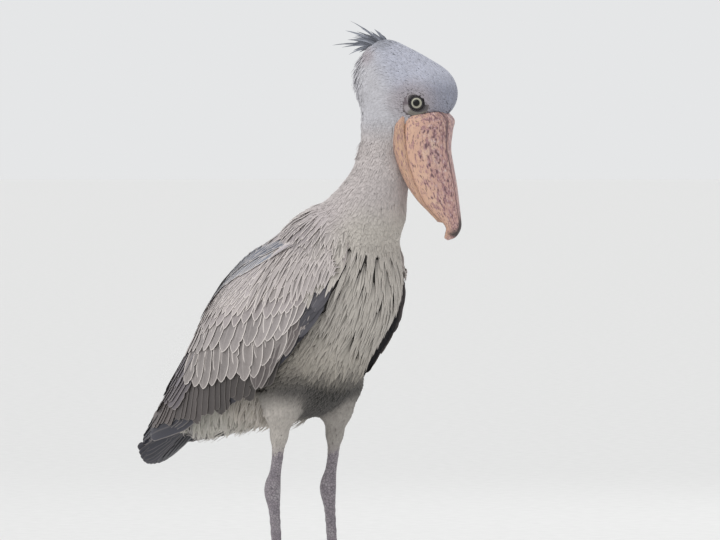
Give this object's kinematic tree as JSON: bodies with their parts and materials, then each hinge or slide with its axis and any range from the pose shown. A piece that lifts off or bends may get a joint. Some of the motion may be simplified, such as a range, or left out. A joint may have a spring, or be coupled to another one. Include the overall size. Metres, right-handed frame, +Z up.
{
  "type": "shoebill",
  "caption": "Still life-size model of a standing shoebill, bill lowered beside the neck, wings folded, resting on the flat soles of its long toes.",
  "frame": {"origin": "on the floor under the middle of the whole bird", "axes": "+X forward, the way the body faces, +Y to the bird's left, +Z up"},
  "size_m": [0.6838, 0.2962, 1.0797],
  "materials": {
    "head_plumage": "fine soft blue-grey feathers",
    "body_plumage": "soft pale grey feathers, longer on the breast",
    "wing_plumage": "slate and mauve-grey feathers with pale edges",
    "tail_plumage": "near black-blue feathers",
    "bill_horn": "pale horn with pink and grey-brown mottling, satin",
    "leg_skin": "scaled grey skin",
    "claw_horn": "dark horn, satin",
    "eye": "wet glossy eye with a pale iris and a black pupil"
  },
  "bodies": {
    "root": {"torso": "body_plumage", "neck": "body_plumage", "head": "head_plumage", "eye_right": "eye", "eye_left": "eye", "bill_upper": "bill_horn", "bill_lower": "bill_horn", "wing_right": "wing_plumage", "thigh_right": "body_plumage", "shank_right": "leg_skin", "foot_right": "leg_skin", "toe_inner_right": "leg_skin", "claw_inner_right": "claw_horn", "toe_middle_right": "leg_skin", "claw_middle_right": "claw_horn", "toe_outer_right": "leg_skin", "claw_outer_right": "claw_horn", "toe_hind_right": "leg_skin", "claw_hind_right": "claw_horn", "wing_left": "wing_plumage", "thigh_left": "body_plumage", "shank_left": "leg_skin", "foot_left": "leg_skin", "toe_inner_left": "leg_skin", "claw_inner_left": "claw_horn", "toe_middle_left": "leg_skin", "claw_middle_left": "claw_horn", "toe_outer_left": "leg_skin", "claw_outer_left": "claw_horn", "toe_hind_left": "leg_skin", "claw_hind_left": "claw_horn", "tail": "tail_plumage"}
  },
  "joints": []
}
